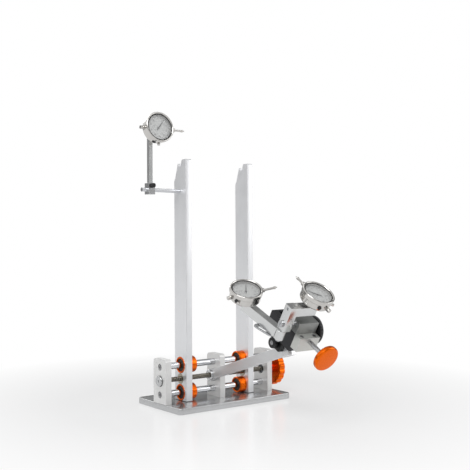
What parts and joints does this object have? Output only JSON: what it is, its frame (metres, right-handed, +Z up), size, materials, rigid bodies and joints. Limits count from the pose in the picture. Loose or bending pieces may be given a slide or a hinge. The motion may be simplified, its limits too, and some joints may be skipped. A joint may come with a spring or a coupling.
{
  "type": "wheel truing stand",
  "caption": "Bench stand with two uprights closed together by a handwheel and spindle, and a swinging arm whose head carries dial gauges on a screw-fed slide.",
  "frame": {"origin": "centre of the base plate's underside", "axes": "+X along the spindle toward the handwheel, +Z up, -Y toward the operator, where the swing arm and its gauges are"},
  "size_m": [0.3437, 0.4378, 0.5775],
  "materials": {
    "base_aluminium": "satin anodised",
    "block_aluminium": "bead blasted",
    "ground_chrome": "ground and hard chromed",
    "screw_steel": "zinc plated",
    "bearing_steel": "satin",
    "turned_aluminium": "turned",
    "spindle_steel": "rolled thread",
    "orange_anodised": "gloss anodised",
    "upright_aluminium": "brushed",
    "bearing_seal": "dark seal",
    "nut_brass": "machined",
    "arm_aluminium": "brushed",
    "black_anodised": "matt black anodised",
    "slide_steel": "dark hard anodised",
    "end_block_aluminium": "satin",
    "feed_steel": "polished",
    "carriage_steel": "satin grey anodised",
    "bracket_aluminium": "brushed",
    "bracket_screw_steel": "bright",
    "gauge_chrome": "polished",
    "gauge_glass": "clear",
    "dial_enamel": "matt grey",
    "needle_enamel": "matt dark"
  },
  "bodies": {
    "base": {"base_plate": "base_aluminium", "left_block": "block_aluminium", "middle_block": "block_aluminium", "right_block": "block_aluminium", "lower_rod": "ground_chrome", "upper_rod": "ground_chrome", "rod_screws": "screw_steel", "block_screws": "screw_steel", "spindle_bearings": "bearing_steel", "arm_pivot_boss": "turned_aluminium", "arm_collar": "turned_aluminium"},
    "spindle": {"spindle": "spindle_steel", "spindle_end_cap": "turned_aluminium", "handwheel": "orange_anodised", "handwheel_screw": "screw_steel"},
    "left_carriage": {"left_upright": "upright_aluminium", "left_sleeves": "orange_anodised", "left_bearings": "bearing_seal", "left_nut": "nut_brass", "centring_rod": "ground_chrome"},
    "right_carriage": {"right_upright": "upright_aluminium", "right_sleeves": "orange_anodised", "right_bearings": "bearing_seal", "right_nut": "nut_brass"},
    "arm": {"swing_arm": "arm_aluminium", "arm_end_block": "turned_aluminium", "head_pivot_pin": "ground_chrome"},
    "clamp_knob": {"clamp_knob": "black_anodised"},
    "head": {"head_clamp": "black_anodised", "slide_base": "slide_steel", "slide_end_block": "end_block_aluminium", "slide_screws": "screw_steel"},
    "lock_knob": {"slide_lock_knob": "slide_steel"},
    "feed": {"feed_screw": "feed_steel", "feed_knob": "orange_anodised"},
    "carriage": {"carriage": "carriage_steel", "gauge_bracket": "bracket_aluminium", "bracket_screws": "bracket_screw_steel", "radial_case": "gauge_chrome"},
    "lateral": {"lateral_arm": "bracket_aluminium", "lateral_case": "gauge_chrome"},
    "centring": {"centring_clamp": "turned_aluminium", "centring_post": "bracket_aluminium", "centring_lock_screw": "black_anodised", "centring_case": "gauge_chrome"},
    "lateral_bezel": {"lateral_bezel": "gauge_chrome", "lateral_crystal": "gauge_glass", "lateral_dial": "dial_enamel"},
    "lateral_needle": {"lateral_needle": "needle_enamel"},
    "lateral_plunger": {"lateral_plunger": "gauge_chrome"},
    "radial_bezel": {"radial_bezel": "gauge_chrome", "radial_crystal": "gauge_glass", "radial_dial": "dial_enamel"},
    "radial_needle": {"radial_needle": "needle_enamel"},
    "radial_plunger": {"radial_plunger": "gauge_chrome"},
    "centring_bezel": {"centring_bezel": "gauge_chrome", "centring_crystal": "gauge_glass", "centring_dial": "dial_enamel"},
    "centring_needle": {"centring_needle": "needle_enamel"},
    "centring_plunger": {"centring_plunger": "gauge_chrome"}
  },
  "joints": [
    {"name": "handwheel_turn", "type": "hinge", "parent": "base", "child": "spindle", "pos_m": [0, -0.008, 0.0557], "axis": [1, 0, 0], "range_deg": [-2701, 2251]},
    {"name": "left_upright_slide", "type": "slide", "parent": "base", "child": "left_carriage", "axis": [1, 0, 0], "range_m": [-0.03, 0.025]},
    {"name": "right_upright_slide", "type": "slide", "parent": "base", "child": "right_carriage", "axis": [-1, 0, 0], "range_m": [-0.0301, 0.0251]},
    {"name": "arm_swing", "type": "hinge", "parent": "base", "child": "arm", "pos_m": [0, -0.008, 0.0557], "axis": [-1, 0, 0], "range_deg": [-12, 30]},
    {"name": "clamp_knob_turn", "type": "hinge", "parent": "arm", "child": "clamp_knob", "pos_m": [0, -0.22797, 0.14275], "axis": [-1, 0, 0], "range_deg": [-90, 180]},
    {"name": "head_tilt", "type": "hinge", "parent": "arm", "child": "head", "pos_m": [0, -0.22797, 0.14275], "axis": [-1, 0, 0], "range_deg": [-15, 30]},
    {"name": "feed_turn", "type": "hinge", "parent": "head", "child": "feed", "pos_m": [-0.013, -0.30231, 0.14999], "axis": [0, -0.8572, -0.515], "range_deg": [-8641, 2161]},
    {"name": "carriage_slide", "type": "slide", "parent": "head", "child": "carriage", "axis": [0, -0.8572, -0.515], "range_m": [-0.024, 0.006]},
    {"name": "lock_knob_turn", "type": "hinge", "parent": "head", "child": "lock_knob", "pos_m": [0.01, -0.27711, 0.1663], "axis": [-1, 0, 0], "range_deg": [-90, 180]},
    {"name": "lateral_arm_swing", "type": "hinge", "parent": "carriage", "child": "lateral", "pos_m": [-0.06, -0.28321, 0.17256], "axis": [0, -0.515, 0.8572], "range_deg": [-8, 35]},
    {"name": "centring_post_swing", "type": "hinge", "parent": "left_carriage", "child": "centring", "pos_m": [-0.09, -0.008, 0.428], "axis": [1, 0, 0], "range_deg": [-60, 90]},
    {"name": "lateral_bezel_turn", "type": "hinge", "parent": "lateral", "child": "lateral_bezel", "pos_m": [-0.09017, -0.22398, 0.24267], "axis": [-0.1908, -0.5027, 0.8431], "continuous": true},
    {"name": "lateral_needle_turn", "type": "hinge", "parent": "lateral", "child": "lateral_needle", "pos_m": [-0.09017, -0.22398, 0.24267], "axis": [0.1908, 0.5027, -0.8431], "range_deg": [0, 1801]},
    {"name": "lateral_plunger_slide", "type": "slide", "parent": "lateral", "child": "lateral_plunger", "axis": [-0.9815, 0.113, -0.1547], "range_m": [0, 0.005], "stiffness_N_per_m": 60, "springref_m": -0.003},
    {"name": "radial_bezel_turn", "type": "hinge", "parent": "carriage", "child": "radial_bezel", "pos_m": [-0.006, -0.32113, 0.23707], "axis": [0, -0.6157, 0.788], "continuous": true},
    {"name": "radial_needle_turn", "type": "hinge", "parent": "carriage", "child": "radial_needle", "pos_m": [-0.006, -0.32113, 0.23707], "axis": [0, 0.6157, -0.788], "range_deg": [0, 1801]},
    {"name": "radial_plunger_slide", "type": "slide", "parent": "carriage", "child": "radial_plunger", "axis": [0.1045, -0.7837, -0.6123], "range_m": [0, 0.005], "stiffness_N_per_m": 60, "springref_m": -0.003},
    {"name": "centring_bezel_turn", "type": "hinge", "parent": "centring", "child": "centring_bezel", "pos_m": [-0.1515, -0.0366, 0.5482], "axis": [0, -0.9816, 0.1908], "continuous": true},
    {"name": "centring_needle_turn", "type": "hinge", "parent": "centring", "child": "centring_needle", "pos_m": [-0.1515, -0.0366, 0.5482], "axis": [0, 0.9816, -0.1908], "range_deg": [0, 1801]},
    {"name": "centring_plunger_slide", "type": "slide", "parent": "centring", "child": "centring_plunger", "axis": [-1, 0, 0], "range_m": [0, 0.005], "stiffness_N_per_m": 60, "springref_m": -0.003}
  ],
  "couplings": [
    {"joint": "right_upright_slide", "follows": "left_upright_slide", "ratio": 1},
    {"joint": "handwheel_turn", "follows": "left_upright_slide", "rad_per_m": 1570.8},
    {"joint": "feed_turn", "follows": "carriage_slide", "rad_per_m": 6283.2},
    {"joint": "lateral_needle_turn", "follows": "lateral_plunger_slide", "rad_per_m": 6283.2},
    {"joint": "radial_needle_turn", "follows": "radial_plunger_slide", "rad_per_m": 6283.2},
    {"joint": "centring_needle_turn", "follows": "centring_plunger_slide", "rad_per_m": 6283.2}
  ]
}
